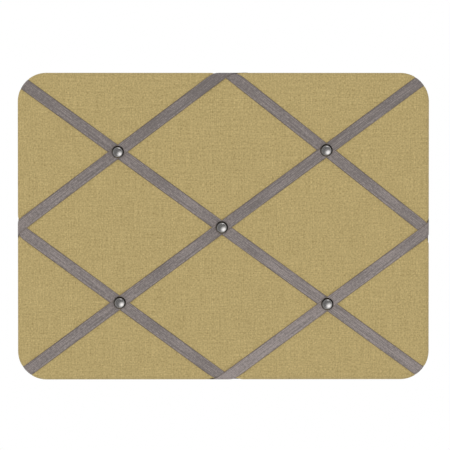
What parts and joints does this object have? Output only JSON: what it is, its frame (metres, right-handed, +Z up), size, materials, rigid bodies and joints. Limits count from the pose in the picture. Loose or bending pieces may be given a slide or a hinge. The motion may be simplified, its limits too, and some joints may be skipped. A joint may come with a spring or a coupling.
{
  "type": "ribbon memo board",
  "caption": "Padded, cloth-covered memo board for the wall, with crossed ribbons held by domed tacks to tuck cards behind, a hardboard back and swinging ring hangers.",
  "frame": {"origin": "middle of the back panel's outer face, the face that goes to the wall", "axes": "+X to the right seen from the front, +Y out of the back towards the wall, +Z up; the front faces -Y"},
  "size_m": [0.4482, 0.0321, 0.3352],
  "materials": {
    "core": "bare medium-density fibreboard",
    "wadding": "matte polyester wadding",
    "cloth": "matte plain-weave cloth, khaki",
    "ribbon": "ribbed ribbon with a faint sheen, warm grey",
    "tack": "polished nickel plate",
    "panel": "smooth brown hardboard",
    "steel": "zinc-plated steel"
  },
  "bodies": {
    "board": {"core_board": "core", "wadding_pad": "wadding", "cover_cloth": "cloth", "ribbon_long_falling": "ribbon", "ribbon_top_right": "ribbon", "ribbon_bottom_left": "ribbon", "ribbon_long_rising": "ribbon", "ribbon_top_left": "ribbon", "ribbon_bottom_right": "ribbon", "tack_centre": "tack", "tack_upper_left": "tack", "tack_upper_right": "tack", "tack_lower_left": "tack", "tack_lower_right": "tack", "staple_long_falling_start": "steel", "staple_long_falling_finish": "steel", "staple_top_right_start": "steel", "staple_top_right_finish": "steel", "staple_bottom_left_start": "steel", "staple_bottom_left_finish": "steel", "staple_long_rising_start": "steel", "staple_long_rising_finish": "steel", "staple_top_left_start": "steel", "staple_top_left_finish": "steel", "staple_bottom_right_start": "steel", "staple_bottom_right_finish": "steel", "staple_hem_top_1": "steel", "staple_hem_top_2": "steel", "staple_hem_top_3": "steel", "staple_hem_top_4": "steel", "staple_hem_bottom_1": "steel", "staple_hem_bottom_2": "steel", "staple_hem_bottom_3": "steel", "staple_hem_bottom_4": "steel", "staple_hem_right_1": "steel", "staple_hem_right_2": "steel", "staple_hem_left_1": "steel", "staple_hem_left_2": "steel", "back_panel": "panel", "hanger_strap_left": "steel", "hanger_screw_left": "steel", "hanger_strap_right": "steel", "hanger_screw_right": "steel"},
    "left_ring": {"hanger_ring_left": "steel"},
    "right_ring": {"hanger_ring_right": "steel"}
  },
  "joints": [
    {"name": "left_ring_swing", "type": "hinge", "parent": "board", "child": "left_ring", "pos_m": [-0.11, 0.0032, 0.121], "axis": [1, 0, 0], "range_deg": [0, 180]},
    {"name": "right_ring_swing", "type": "hinge", "parent": "board", "child": "right_ring", "pos_m": [0.11, 0.0032, 0.121], "axis": [1, 0, 0], "range_deg": [0, 180]}
  ]
}
